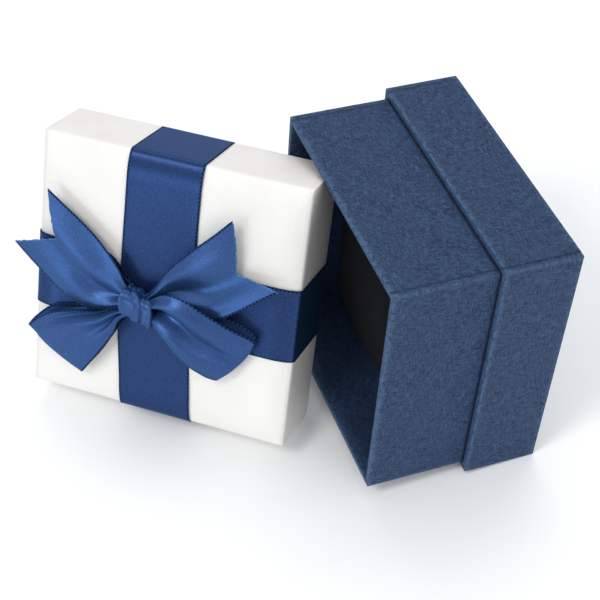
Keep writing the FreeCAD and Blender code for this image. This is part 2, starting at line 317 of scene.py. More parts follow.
def white_paper():
    """Pearly white paper: a fine grain, faint creases, and fold lines on the -X and +X walls, as
    bumps and as darker streaks of painted shade.
    """
    material, tree, shader = new_material("white_paper", (0.84, 0.83, 0.81), 0.5)
    place = object_in_mm(tree)
    grain = noise(tree, place, 1.9, 3.0, 0.6)
    cloud = noise(tree, place, 0.05, 3.0)
    tint = ramp(tree, cloud, (0.35, (0.755, 0.725, 0.69)), (0.65, (0.79, 0.762, 0.73)))
    speck = step(tree, noise(tree, place, 0.75, 4.0), 0.68, 0.78)
    plain = blended(tree, maths(tree, "MULTIPLY", speck, 0.18), tint, (0.70, 0.665, 0.61))
    link(tree, maths(tree, "MULTIPLY_ADD", grain, 0.3, 0.3), shader.inputs["Roughness"])
    crease = noise(tree, stretched(tree, place, (0.12, 0.9, 0.3)), 1.0, 2.0)
    fold = noise(tree, stretched(tree, place, (0.010, 0.010, 1.5)), 1.0, 2.0, 0.6)
    split = add(tree, "ShaderNodeSeparateXYZ", {"Vector": place})
    # Fold lines on the lower -X and +X walls get darker streaks of painted shade.
    side = step(tree, maths(tree, "ABSOLUTE", split.outputs["X"]), HALF - 2.2, HALF - 0.8)
    wall = maths(tree, "MULTIPLY", side, step(tree, split.outputs["Z"], 8.0, 20.0))
    lines = maths(tree, "MULTIPLY", wall, step(tree, fold, 0.44, 0.58))
    link(tree, blended(tree, maths(tree, "MULTIPLY", lines, 0.24), plain, (0.50, 0.46, 0.40)),
         shader.inputs["Base Color"])
    height = maths(tree, "MULTIPLY_ADD", crease, 0.9, grain)
    relief(tree, shader, maths(tree, "MULTIPLY_ADD", fold, 1.4, height), 0.00010)
    return material


def satin(name, dark, pale, sheen):
    """Warp-faced satin ribbon: long floats along it, a stitched selvage, paler cut ends."""
    material, tree, shader = new_material(name, pale, 0.38)
    shader.inputs["Metallic"].default_value = 0.72
    shader.inputs["Anisotropic"].default_value = 0.6
    shader.inputs["Sheen Weight"].default_value = sheen
    shader.inputs["Sheen Roughness"].default_value = 0.4
    shader.inputs["Sheen Tint"].default_value = (0.10, 0.50, 0.80, 1)
    shader.inputs["Specular Tint"].default_value = (0.50, 0.62, 0.95, 1)
    uv = uv_in_mm(tree)
    floats = noise(tree, stretched(tree, uv, (4.2, 0.40, 1)), 1.0, 3.0, 0.6)
    grain = noise(tree, stretched(tree, uv, (2.6, 2.0, 1)), 1.0, 2.0, 0.7)
    body = ramp(tree, maths(tree, "MULTIPLY_ADD", floats, 0.38, maths(tree, "MULTIPLY", grain, 0.62)),
                (0.40, dark), (0.62, pale))
    split = add(tree, "ShaderNodeSeparateXYZ", {"Vector": uv})
    far = maths(tree, "SUBTRACT", RIBBON_WIDTH, split.outputs["X"])
    edge = maths(tree, "MINIMUM", split.outputs["X"], far)
    selvage = maths(tree, "SUBTRACT", 1.0, step(tree, edge, 0.45, SELVAGE))
    turns = maths(tree, "FRACT", maths(tree, "DIVIDE", split.outputs["Y"], PICOT))
    stitch = step(tree, maths(tree, "ABSOLUTE", maths(tree, "SUBTRACT", turns, 0.5)), 0.16, 0.3)
    bound = blended(tree, stitch, (0.003, 0.008, 0.03), (0.020, 0.060, 0.18))
    color = blended(tree, selvage, body, bound)
    cut = step(tree, attribute(tree, "cut"), 0.2, 1.0)
    link(tree, blended(tree, maths(tree, "MULTIPLY", cut, 0.7), color, (0.07, 0.22, 0.46)),
         shader.inputs["Base Color"])
    rough = maths(tree, "MULTIPLY_ADD", floats, 0.12, 0.31)
    link(tree, maths(tree, "MAXIMUM", rough, maths(tree, "MULTIPLY", selvage, 0.7)),
         shader.inputs["Roughness"])
    tangent = add(tree, "ShaderNodeTangent", direction_type="UV_MAP", uv_map="UVMap")
    link(tree, tangent.outputs["Tangent"], shader.inputs["Tangent"])
    sewn = maths(tree, "MULTIPLY", selvage, stitch)
    woven = maths(tree, "MULTIPLY_ADD", grain, 0.6, floats)
    relief(tree, shader, maths(tree, "MULTIPLY_ADD", sewn, 1.8, woven), 0.000045)
    return material


def velvet():
    """Black pile that is brushed a little paler in patches."""
    material, tree, shader = new_material("velvet", (0.006, 0.006, 0.008), 0.95)
    shader.inputs["Sheen Weight"].default_value = 0.03
    shader.inputs["Sheen Roughness"].default_value = 0.35
    shader.inputs["Sheen Tint"].default_value = (0.55, 0.6, 0.7, 1)
    shader.inputs["Specular IOR Level"].default_value = 0.15
    place = object_in_mm(tree)
    pile = noise(tree, place, 3.0, 3.0, 0.7)
    brushed = noise(tree, stretched(tree, place, (0.12, 0.3, 0.2)), 1.0, 3.0)
    color = ramp(tree, pile, (0.35, (0.0012, 0.0012, 0.002)), (0.72, (0.006, 0.006, 0.008)))
    link(tree, blended(tree, step(tree, brushed, 0.45, 0.75), color, (0.0035, 0.0035, 0.005)),
         shader.inputs["Base Color"])
    relief(tree, shader, pile, 0.00025)
    return material


def fibrous(name, dark, pale, scale, roughness=0.85, height=0.00005):
    """Board, tape, card, foam and lining: a mottled ground with fibres or cells."""
    material, tree, shader = new_material(name, pale, roughness)
    place = object_in_mm(tree)
    fibre = noise(tree, stretched(tree, place, (scale, scale * 2.2, scale * 1.4)), 1.0, 4.0, 0.65)
    link(tree, ramp(tree, fibre, (0.3, dark), (0.7, pale)), shader.inputs["Base Color"])
    relief(tree, shader, fibre, height)
    return material


def make_materials():
    return {
        "linen_paper": linen_paper("linen_paper", (0.028, 0.063, 0.147), (0.006, 0.015, 0.046),
                                   (0.080, 0.150, 0.27)),
        "white_paper": white_paper(),
        # The bands and the bow are one ribbon in two copies: the bands' copy is painted darker and
        # the bow's brighter with more sheen, as painted shade and painted light.
        "satin": satin("satin", (0.014, 0.031, 0.098), (0.027, 0.062, 0.184), 0.06),
        "satin_bow_painted_brighter": satin("satin_bow_painted_brighter", (0.026, 0.058, 0.162), (0.047, 0.109, 0.302), 0.22),
        "velvet": velvet(),
        "greyboard": fibrous("greyboard", (0.22, 0.20, 0.175), (0.36, 0.335, 0.30), 0.9),
        "corner_tape": fibrous("corner_tape", (0.42, 0.32, 0.20), (0.52, 0.41, 0.27), 0.7),
        "lining_paper": fibrous("lining_paper", (0.02, 0.03, 0.06), (0.035, 0.05, 0.09), 1.3),
        "lid_lining": fibrous("lid_lining_paper", (0.74, 0.72, 0.68), (0.82, 0.81, 0.78), 1.1),
        "foam": fibrous("foam", (0.52, 0.52, 0.49), (0.72, 0.71, 0.67), 2.0, 0.95, 0.0002),
    }


# ---------------------------------------------------------------------------------------------
# Mesh helpers
# ---------------------------------------------------------------------------------------------
def smooth_step(level, low, high):
    """0 below low, 1 above high, smooth between."""
    t = np.clip((level - low) / (high - low), 0, 1)
    return t * t * (3 - 2 * t)


def new_piece(name, vertices, faces, matrix, material, body, marks=None):
    """A smooth mesh piece from points in millimetres in a half's frame."""
    mesh = bpy.data.meshes.new(name)
    mesh.from_pydata([tuple(p) for p in np.asarray(vertices) * MM], [], faces)
    mesh.validate()
    for kind, values in (marks or {}).items():
        layer = mesh.attributes.new(kind, "FLOAT", "POINT")
        layer.data.foreach_set("value", np.asarray(values, np.float32).ravel())
    mesh.polygons.foreach_set("use_smooth", [True] * len(mesh.polygons))
    piece = bpy.data.objects.new(name, mesh)
    bpy.context.scene.collection.objects.link(piece)
    piece.matrix_world = matrix
    mesh.materials.append(material)
    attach(piece, body)
    return piece


def box_uv(piece):
    """Lays the texture flat on each side of a box-shaped piece, in millimetres."""
    mesh = piece.data
    layer = mesh.uv_layers.new(name="UVMap")
    for polygon in mesh.polygons:
        normal = [abs(c) for c in polygon.normal]
        first, second = ((1, 2), (0, 2), (0, 1))[normal.index(max(normal))]
        for corner in polygon.loop_indices:
            place = mesh.vertices[mesh.loops[corner].vertex_index].co / MM
            layer.data[corner].uv = (place[first], place[second])


def grid_faces(rows, columns, wrap=False):
    """Quads between the rows of a grid; wrap closes each row on itself."""
    faces = []
    for row in range(rows - 1):
        for column in range(columns if wrap else columns - 1):
            after = (column + 1) % columns
            faces.append((row * columns + column, row * columns + after,
                          (row + 1) * columns + after, (row + 1) * columns + column))
    return faces


def ring(half, radius, height, seam=0.0, steps=20, per_corner=5):
    """A square with rounded corners, anticlockwise, and each point's paling and painted shade.

    seam is the step where a side's covering laps over the next one's, on two of the sides.
    """
    points, pale_and_shade_level = [], []
    inner = half - radius
    small = min(1.0, inner / 10)                    # draws the lap together on the smallest rings
    lap = min(half - LAP, inner - 0.4 * small)
    near = [lap + small * off for off in (0.18, 0.08, -0.08)]
    along = near + [(lap - small) * (1 - 2 * k / steps) for k in range(steps + 1)]
    along += [-t for t in near[::-1]]
    for quarter in range(4):
        turn = math.pi / 2 * quarter
        c, s = math.cos(turn), math.sin(turn)
        for k in range(per_corner):
            angle = math.pi / 2 * k / (per_corner - 1)
            x, y = inner + radius * math.cos(angle), inner + radius * math.sin(angle)
            points.append((c * x - s * y, s * x + c * y, height))
            # Rounded corners are painted paler.
            pale_and_shade_level.append(0.8)
        over = quarter % 2 == 0                     # this side's covering lies over the next one's
        for x in along:
            y = half + (seam if over and abs(x) < lap else 0.0)
            points.append((c * x - s * y, s * x + c * y, height))
            # The lap's step gets a thin line of painted shade.
            at_step = over and abs(abs(x) - lap) < 0.1 * small
            pale_and_shade_level.append(-0.7 if seam and at_step else 0.0)
    return points, pale_and_shade_level


def tray(name, profile, matrix, material, body, shaped=None, capped=(False, False), seam=0.0):
    """A square wrap.

    profile lists (half side, corner radius, height, paling and painted shade) for each ring, shaped
    moves the points, and capped says whether the first and the last ring are closed.
    """
    vertices, pale_and_shade = [], []
    widest = max(half for half, _, _, _ in profile)
    for half, radius, height, pale_and_shade_level in profile:
        outside = half > NECK_HALF - 0.3
        points, corner_pale_and_seam_shade = ring(half, radius, height, seam if outside else 0.0)
        vertices += points
        if half < widest - 1:
            corner_pale_and_seam_shade = [0.0] * len(points)
        # Painted shade (below 0) wins over paling where both fall on a point.
        pale_and_shade += [min(pale_and_shade_level, at) if min(pale_and_shade_level, at) < 0 else max(pale_and_shade_level, at) for at in corner_pale_and_seam_shade]
    columns = len(points)
    faces = grid_faces(len(profile), columns, wrap=True)
    if capped[0]:
        faces.append(tuple(reversed(range(columns))))
    if capped[1]:
        faces.append(tuple(range(len(vertices) - columns, len(vertices))))
    vertices = np.array(vertices)
    if shaped:
        vertices = shaped(vertices)
    piece = new_piece(name, vertices, faces, matrix, material, body, {"pale_and_shade": pale_and_shade})
    box_uv(piece)
    return piece


def thicken(piece, thickness, offset):
    """Gives a surface its thickness: inwards if offset is -1, both ways if it is 0."""
    solidify = piece.modifiers.new("thickness", "SOLIDIFY")
    solidify.thickness = thickness * MM
    solidify.offset = offset


def quarter_turn(half, height, radius, corner, pale_and_shade, start=0.0, steps=4):
    """Profile rings round a horizontal edge, from the side to the top if start is 0."""
    angles = [math.pi / 2 * (k / steps) + start for k in range(steps + 1)]
    return [(half + radius * math.cos(angle), corner, height + radius * math.sin(angle), pale_and_shade)
            for angle in angles]


def side_rings(half, corner, low, high, count, pale_and_shade=0.0):
    """Profile rings up a wall, between its two ends."""
    return [(half, corner, low + (high - low) * k / count, pale_and_shade) for k in range(1, count)]


def run_along(points):
    """How far along a line each of its points is."""
    steps = np.linalg.norm(np.diff(points, axis=0), axis=1)
    return np.concatenate([[0], np.cumsum(steps)])


def ripples(points, amount, length, seed):
    """A smooth random shift for each point, the same each time for a seed."""
    waves = np.random.default_rng(seed)
    shift = np.zeros(len(points))
    for _ in range(6):
        direction = waves.normal(size=3)
        direction /= np.linalg.norm(direction) * length * waves.uniform(0.7, 1.5)
        shift += np.sin(points @ direction * 2 * math.pi + waves.uniform(0, 2 * math.pi))
    return amount * shift / 6


# ---------------------------------------------------------------------------------------------
# Base: plinth and neck papers
# ---------------------------------------------------------------------------------------------
def make_plinth_paper(material):
    """From under the bottom, up the outside, over the rim and down beside the neck."""
    inner = NECK_HALF + 0.14
    profile = [(half, EDGE, 0.0, 0.0) for half in (3, 10, 20, 30, 38, 43)]
    profile += quarter_turn(HALF - EDGE, EDGE, EDGE, EDGE, 0.8, start=-math.pi / 2)
    profile += side_rings(HALF, EDGE, EDGE, PLINTH_HEIGHT - EDGE, 12)
    profile += quarter_turn(HALF - EDGE, PLINTH_HEIGHT - EDGE, EDGE, EDGE, 1.0)
    profile += [((HALF + inner) / 2, EDGE, PLINTH_HEIGHT, 0.9)]
    # Paler at the rim's inner edge, then painted shade (below 0) in the groove beside the neck and
    # down the turn-in.
    profile += [(inner + 0.25, EDGE, PLINTH_HEIGHT, 0.5),
                (inner + 0.03, EDGE, PLINTH_HEIGHT - 0.03, -0.5),
                (inner, EDGE, PLINTH_HEIGHT - 0.12, -1.0),
                (inner, EDGE, PLINTH_HEIGHT - TURN_IN, -1.0)]

    def shaped(points):
        outward = points / np.maximum(np.abs(points).max(1, keepdims=True), 1e-6)
        free = (np.abs(points[:, :2]).max(1) > HALF - 0.2) & (points[:, 2] > 2)
        return points + outward * (free * ripples(points, 0.05, 28, 3))[:, None]

    piece = tray("plinth_paper", profile, BASE, material, "base", shaped,
                 (True, False), seam=0.1)
    thicken(piece, COVERING, -1)
    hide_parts("plinth_wrap")


def make_neck_paper(material):
    """From inside the plinth, up the outside, over the rim and down inside."""
    low = PLINTH_HEIGHT - TURN_IN
    rim = BASE_HEIGHT - EDGE
    # Painted shade (below 0) where the neck stands in the plinth, and in a soft band just above the
    # plinth's rim.
    profile = [(NECK_HALF, EDGE, low, -1.0), (NECK_HALF, EDGE, PLINTH_HEIGHT - 0.1, -1.0),
               (NECK_HALF, EDGE, PLINTH_HEIGHT + 0.35, -0.85),
               (NECK_HALF, EDGE, PLINTH_HEIGHT + 1.2, 0.0)]
    profile += side_rings(NECK_HALF, EDGE, PLINTH_HEIGHT + 1.2, rim, 14)
    profile += quarter_turn(NECK_HALF - EDGE, rim, EDGE, EDGE, 1.0)
    profile += [((NECK_HALF + NECK_INNER_HALF) / 2, EDGE, BASE_HEIGHT, 1.0)]
    profile += [(NECK_INNER_HALF + EDGE * (1 - math.sin(angle)), EDGE,
                 rim + EDGE * math.cos(angle), 0.8)
                for angle in (math.pi / 2 * k / 4 for k in range(5))]
    # The inner walls get a faint painted shade (-0.45).
    profile += [(NECK_INNER_HALF, EDGE, rim + (3.0 - rim) * k / 14, -0.45) for k in range(1, 15)]

    def shaped(points):
        reach = np.abs(points[:, :2]).max(1)
        outward = points * [1, 1, 0] / reach[:, None]
        free = smooth_step(points[:, 2], PLINTH_HEIGHT, PLINTH_HEIGHT + 8)
        return points + outward * (free * ripples(points, 0.05, 30, 5))[:, None]

    piece = tray("neck_paper", profile, BASE, material, "base", shaped, seam=0.08)
    thicken(piece, COVERING, -1)
    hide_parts("neck_wrap")


# ---------------------------------------------------------------------------------------------
# The pad inside the base
# ---------------------------------------------------------------------------------------------
PAD_HALF = 40.25
PAD_BOTTOM = 2.5
PAD_EDGE_HEIGHT = 36.0
PAD_CROWN = 7.0             # how far its middle stands above its edge
PAD_RINGS = 22              # from its edge to its middle


def crown(points, half, edge, rise):
    """Heights of a crowned square pad: steep at its edge and nearly flat in its middle."""
    share = np.clip(np.abs(points[:, :2]) / half, 0, 1) ** 2.6
    return edge + rise * ((1 - share[:, 0]) * (1 - share[:, 1])) ** 0.55


def make_pad(name, material, inset, replaced):
    """The velvet, or the foam that lies inset under it."""
    half = PAD_HALF - inset
    low, edge = PAD_BOTTOM + inset, PAD_EDGE_HEIGHT - inset
    profile = [(side, 2.0, low, 0.0) for side in (4, 15, 30, 38)]
    profile += [(half, 2.5, low + 0.8 + (edge - low - 0.8) * k / 12, 0.0) for k in range(13)]
    for k in range(1, PAD_RINGS - 1):
        inwards = k / PAD_RINGS
        corner = 2.5 + 2.0 * min(k, 5) / 5 * (1 - inwards)
        profile.append((half * (1 - inwards ** 1.15), corner, edge, 0.0))

    def shaped(points):
        top = points[:, 2] >= edge - 1e-6
        risen = crown(points, half, edge, PAD_CROWN)
        moved = points.copy()
        moved[top, 2] = (risen + ripples(moved, 0.35, 30, 11))[top]
        outward = np.sign(moved[:, :2]) * 0.5
        moved[:, :2] += (ripples(moved, 0.12, 18, 13) * ~top)[:, None] * outward
        return moved

    piece = tray(name, profile, BASE, material, "insert", shaped, (True, True))
    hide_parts(*replaced)


# ---------------------------------------------------------------------------------------------
# Lid: the padded white paper and its wadding
# ---------------------------------------------------------------------------------------------
ROLL_IN = 8.5               # the padded top rounds over this far in
ROLL_DOWN = 2.6             # and this far down


def roll(steps, inset=0.0, corner=5.0):
    """Profile rings over the padded top's edge, from the side inwards."""
    rings = []
    for k in range(steps + 1):
        angle = math.pi / 2 * k / steps
        rings.append((HALF - ROLL_IN + (ROLL_IN - inset) * math.cos(angle),
                      EDGE + (corner - EDGE) * math.sin(angle) ** 1.5,
                      LID_DEPTH - ROLL_DOWN + (ROLL_DOWN - inset) * math.sin(angle), 0.0))
    return rings


def lid_top_shape(points):
    """The wadding's slight pillow, and the sides' slight waves."""
    share = np.clip(np.abs(points[:, :2]) / HALF, 0, 1) ** 4
    pillow = 0.35 * (1 - share[:, 0]) * (1 - share[:, 1])
    top = smooth_step(points[:, 2], LID_DEPTH - ROLL_DOWN, LID_DEPTH - 0.5)
    moved = points.copy()
    moved[:, 2] += top * (pillow - 0.35 + ripples(points, 0.12, 26, 17))
    side = (np.abs(points[:, :2]).max(1) > HALF - 0.3) & (points[:, 2] > 1)
    outward = np.sign(points[:, :2]) * (np.abs(points[:, :2]) > HALF - 0.3)
    moved[:, :2] += outward * (side * ripples(points, 0.06, 24, 19))[:, None]
    return moved


def make_lid_paper(material):
    """From inside the lid, out round its rim, up the outside and over the padded top."""
    profile = [(LID_INNER_HALF, 0.3, TURN_IN * (1 - k / 6), 0.0) for k in range(6)]
    profile += [(LID_INNER_HALF + 0.3, 0.3, 0.0, 0.5), ((HALF + LID_INNER_HALF) / 2, EDGE, 0.0, 0.5)]
    profile += quarter_turn(HALF - EDGE, EDGE, EDGE, EDGE, 0.8, start=-math.pi / 2)
    profile += side_rings(HALF, EDGE, EDGE, LID_DEPTH - ROLL_DOWN, 9)
    profile += roll(12)
    profile += [(half, 5.0, LID_DEPTH, 0.0) for half in (34, 31, 28, 25, 21, 17, 13, 9)]
    piece = tray("lid_paper", profile, LID, material, "lid", lid_top_shape,
                 (False, True), seam=0.08)
    thicken(piece, COVERING, -1)
    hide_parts("lid_wrap")


def make_wadding(material):
    """The wadding under the paper, the same shape a little smaller."""
    low = LID_DEPTH - ROLL_DOWN + 0.05
    profile = [(half, 0.4, low, 0.0) for half in (10, 30, 42)]
    profile += roll(10, inset=0.35)[1:]
    profile += [(half, 5.0, LID_DEPTH - 0.35, 0.0) for half in (32, 22, 14)]
    piece = tray("lid_wadding", profile, LID, material, "lid", lid_top_shape, (True, True))
    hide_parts("lid_padding")


# ---------------------------------------------------------------------------------------------
# Ribbon: the two bands round the lid
# ---------------------------------------------------------------------------------------------
def arc(centre, radii, start, end, steps=12):
    """Points on a quarter of an ellipse; the angles are in quarter turns."""
    angles = np.linspace(start, end, steps + 1) * math.pi / 2
    return [(centre[0] + radii[0] * math.cos(a), centre[1] + radii[1] * math.sin(a))
            for a in angles]


def band_path(spacing=0.33):
    """The section of a band round the lid, from inside one wall to inside the other."""
    gap = 0.22                                      # between the paper and the ribbon's middle
    rim = 0.9                                       # radius round the rim's outer edge
    inside, outside = LID_INNER_HALF - gap, HALF + gap
    half = [(inside, 12.0), (inside, 0.4)]
    half += arc((inside + 0.3, 0.1), (0.3, 0.3), -2, -1, 4)
    half += arc((outside - rim, -gap + rim), (rim, rim), -1, 0, 8)
    half += arc((HALF - ROLL_IN, LID_DEPTH - ROLL_DOWN), (ROLL_IN + gap, ROLL_DOWN + gap), 0, 1)
    points = np.array([(-x, y) for x, y in half] + half[::-1])
    lengths = run_along(points)
    along = np.linspace(0, lengths[-1], int(lengths[-1] / spacing) + 1)
    path = np.stack([np.interp(along, lengths, points[:, k]) for k in (0, 1)], 1)
    return path, along


def across_positions(columns=27):
    """Positions across a ribbon, closer together at its selvages."""
    t = np.linspace(-1, 1, columns)
    return RIBBON_WIDTH / 2 * (1 - (1 - np.abs(t)) ** 1.25) * np.sign(t)


def ribbon_mesh(name, points, along, across, material, cut=None, replaced=()):
    """A ribbon from a grid of points, with its selvage scalloped between the stitches."""
    rows, columns = points.shape[:2]
    scallop = SCALLOP * (0.5 + 0.5 * np.cos(2 * math.pi * along / PICOT))
    for edge, inner in ((0, 1), (-1, -2)):
        outward = points[:, edge] - points[:, inner]
        outward /= np.maximum(np.linalg.norm(outward, axis=1, keepdims=True), 1e-6)
        points[:, edge] += outward * scallop[:, None]
    marks = {"cut": np.zeros((rows, columns)) if cut is None else cut}
    piece = new_piece(name, points.reshape(-1, 3), grid_faces(rows, columns), LID, material,
                      "lid", marks)
    layer = piece.data.uv_layers.new(name="UVMap")
    u = np.broadcast_to(across + RIBBON_WIDTH / 2, (rows, columns)).ravel()
    v = np.broadcast_to(along[:, None], (rows, columns)).ravel()
    index = np.zeros(len(piece.data.loops), np.int32)
    piece.data.loops.foreach_get("vertex_index", index)
    layer.data.foreach_set("uv", np.stack([u[index], v[index]], 1).astype(np.float32).ravel())
    thicken(piece, RIBBON_THICK, 0)
    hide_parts(*replaced)
    return piece


def band_points(axis, centre_of, lift_of, seed, pinch_of=None):
    """A band over the lid. axis is the lid axis that it runs along, 0 or 1.

    centre_of gives its middle at each place along it, lift_of its height above the paper and
    pinch_of the share of its width that it loses.
    """
    pleat_spacing, pleat_height = 4.4, 3.4
    path, along = band_path()
    across = across_positions()
    tangent = np.gradient(path, axis=0)
    tangent /= np.linalg.norm(tangent, axis=1, keepdims=True)
    normal = np.stack([-tangent[:, 1], tangent[:, 0]], 1)
    centre, lift = centre_of(path[:, 0]), lift_of(path)
    loose = np.clip(np.minimum(along, along[-1] - along) / 45 - 0.3, 0, 1)[:, None]
    wave = np.array([ripples(np.stack([along, np.full_like(along, w), along * 0], 1), 1.0, 24, seed)
                     for w in across]).T
    height = lift[:, None] + 0.16 * loose * (wave + 0.6)
    height += 0.10 * loose * (np.abs(across) / (RIBBON_WIDTH / 2)) ** 6
    narrowed = np.zeros(len(path)) if pinch_of is None else pinch_of(path)
    pleats = 0.5 + 0.5 * np.cos(2 * math.pi * across / pleat_spacing + 0.6)
    height += pleat_height * (narrowed ** 2)[:, None] * pleats
    points = np.zeros((len(path), len(across), 3))
    points[..., axis] = path[:, :1] + normal[:, :1] * height
    points[..., 1 - axis] = centre[:, None] + across * (1 - narrowed)[:, None]
    points[..., 2] = path[:, 1:] + normal[:, 1:] * height
    return points, along, across


def near_knot(x):
    """1 at the knot, fading to 0 along the level band."""
    return np.exp(-((x - KNOT[0]) / 9.5) ** 2)


def make_bands(material):
    """The upright band, and the level one that crosses over it and is drawn into the knot."""
    def upright_centre(y):
        return UPRIGHT_X + 2.3 * smooth_step(-y, 8, 45)

    def no_lift(path):
        return np.zeros(len(path))

    points, along, across = band_points(1, upright_centre, no_lift, 23)
    ribbon_mesh("ribbon_upright_satin", points, along, across, material,
                replaced=("ribbon_upright",))

    def level_centre(x):
        straight = LEVEL_Y - 0.9 * smooth_step(-x, -12, 12) - 0.5 * smooth_step(-x, 20, 45)
        return straight - 3.0 * near_knot(x)

    def over_upright(path):
        off = np.abs(path[:, 0] - UPRIGHT_X) - RIBBON_WIDTH / 2
        return 0.42 * (1 - smooth_step(off, 0.1, 3.0)) * (path[:, 1] > LID_DEPTH - 1)

    def drawn_into_knot(path):
        return 0.68 * near_knot(path[:, 0]) * (path[:, 1] > LID_DEPTH - 1)

    points, along, across = band_points(0, level_centre, over_upright, 29, drawn_into_knot)
    ribbon_mesh("ribbon_level_satin", points, along, across, material,
                replaced=("ribbon_level",))


# ---------------------------------------------------------------------------------------------
# Bow: each tail and loop lies between its two selvages, as points (x, y, height above the lid)
# ---------------------------------------------------------------------------------------------
def curve_through(points, count):
    """A Catmull-Rom curve through points, at count even steps, and its length."""
    p = np.array(points, float)
    p = np.vstack([2 * p[0] - p[1], p, 2 * p[-1] - p[-2]])
    fine = []
    for a, b, c, d in zip(p, p[1:], p[2:], p[3:]):
        t = np.linspace(0, 1, 40, endpoint=False)[:, None]
        fine.append(0.5 * (2 * b + (c - a) * t + (2 * a - 5 * b + 4 * c - d) * t ** 2
                           + (3 * b - a - 3 * c + d) * t ** 3))
    fine = np.vstack([*fine, p[-2][None]])
    lengths = run_along(fine)
    at = np.linspace(0, lengths[-1], count)
    return np.stack([np.interp(at, lengths, fine[:, k]) for k in range(3)], 1), lengths[-1]


def at_fraction(curve, fraction):
    """Points on an evenly spaced curve at fractions of its length."""
    place = np.clip(fraction, 0, 1) * (len(curve) - 1)
    return np.stack([np.interp(place, np.arange(len(curve)), curve[:, k]) for k in range(3)], -1)


def between(upper, lower, u, share):
    """The surface between two selvages: u along, share across, each a grid."""
    return (at_fraction(upper, u) * (1 - share)[..., None]
            + at_fraction(lower, u) * share[..., None])


def bow_grid(upper, lower, spacing=0.45, fine=400):
    """Both selvages as curves, their mean length, and a grid of places between them."""
    upper, long_upper = curve_through(upper, fine)
    lower, long_lower = curve_through(lower, fine)
    length = (long_upper + long_lower) / 2
    rows = int(length / spacing)
    across = across_positions(41)
    share = np.broadcast_to((across + RIBBON_WIDTH / 2) / RIBBON_WIDTH, (rows, len(across)))
    u = np.broadcast_to(np.linspace(0, 1, rows)[:, None], share.shape)
    return upper, lower, length, across, u, share


def folded(share, away, folds):
    """Ridges and hollows that run out from the knot: (where across, width, height, fade, drift)."""
    height = np.zeros(share.shape)
    for place, width, rise, fade, drift in folds:
        centre = place + drift * away
        height += rise * np.exp(-((share - centre) / width) ** 2) * np.clip(1 - away, 0, 1) ** fade
    return height


def gathered(share, away, count, depth, reach):
    """Even pleats that are deepest at the knot and fade out at reach of the way along."""
    fade = np.clip(1 - away / reach, 0, 1) ** 1.3
    return depth * fade * np.cos(2 * math.pi * count * share + 0.4)


def make_tail(name, upper, lower, notch, arch, folds, material, replaced):
    """A swallow-tailed end.

    notch is (how far back along, where across); arch is (its middle's rise, its lower edge's).
    """
    upper, lower, length, across, u, share = bow_grid(upper, lower)
    back, middle = notch
    slope = np.where(share < middle, share / middle, (1 - share) / (1 - middle))
    u = u * (1 - back * slope ** 1.12)
    points = between(upper, lower, u, share)
    points[..., 2] += folded(share, u, folds) + 0.25 * np.sin(u * 9 + share * 5)
    points[..., 2] += gathered(share, u, 3, 0.6, 0.25)
    out = smooth_step(u, 0.1, 0.6)
    points[..., 2] += out * (arch[0] * np.sin(math.pi * share) + arch[1] * share ** 2)
    points[-1, :, :2] += random.normal(0, 0.12, (points.shape[1], 2))
    points[..., 2] += LID_DEPTH
    end = (1 - u / u[-1]) * length
    cut = np.clip(1 - end / FRAY, 0, 1)
    along = np.linspace(0, length, len(points))
    ribbon_mesh(name, points, along, across, material, cut, replaced)


def make_loop(name, upper, lower, bulge, folds, material, replaced):
    """A loop out from the knot and back under itself; bulge rounds its outer fold."""
    upper, lower, length, across, u, share = bow_grid(upper, lower)
    points = between(upper, lower, u, share)
    out = points[len(points) // 2].mean(0) - points[0].mean(0)
    out[2] = 0
    out /= np.linalg.norm(out)
    fold = np.exp(-((u - 0.5) / 0.09) ** 2)
    points += out * (bulge * fold * np.sin(math.pi * share))[..., None]
    front = u < 0.5
    reach = np.minimum(u, 1 - u) * 2
    points[..., 2] += front * folded(share, reach, folds)
    points[..., 2] += np.where(front, gathered(share, reach, 3, 0.8, 0.35),
                               gathered(share, reach, 5, 1.0, 0.9))
    belly = np.sin(math.pi * np.clip(reach, 0, 1)) * np.sin(math.pi * share)
    points[..., 2] += front * 1.3 * belly - (~front) * 0.2 * belly
    points[..., 2] += LID_DEPTH
    along = np.linspace(0, length, len(points))
    ribbon_mesh(name, points, along, across, material, None, replaced)


def squared(wave, half):
    """A sine or cosine drawn out, so that the two make a loop between a circle and a square."""
    return np.sign(wave) * np.abs(wave) ** 0.70 * half


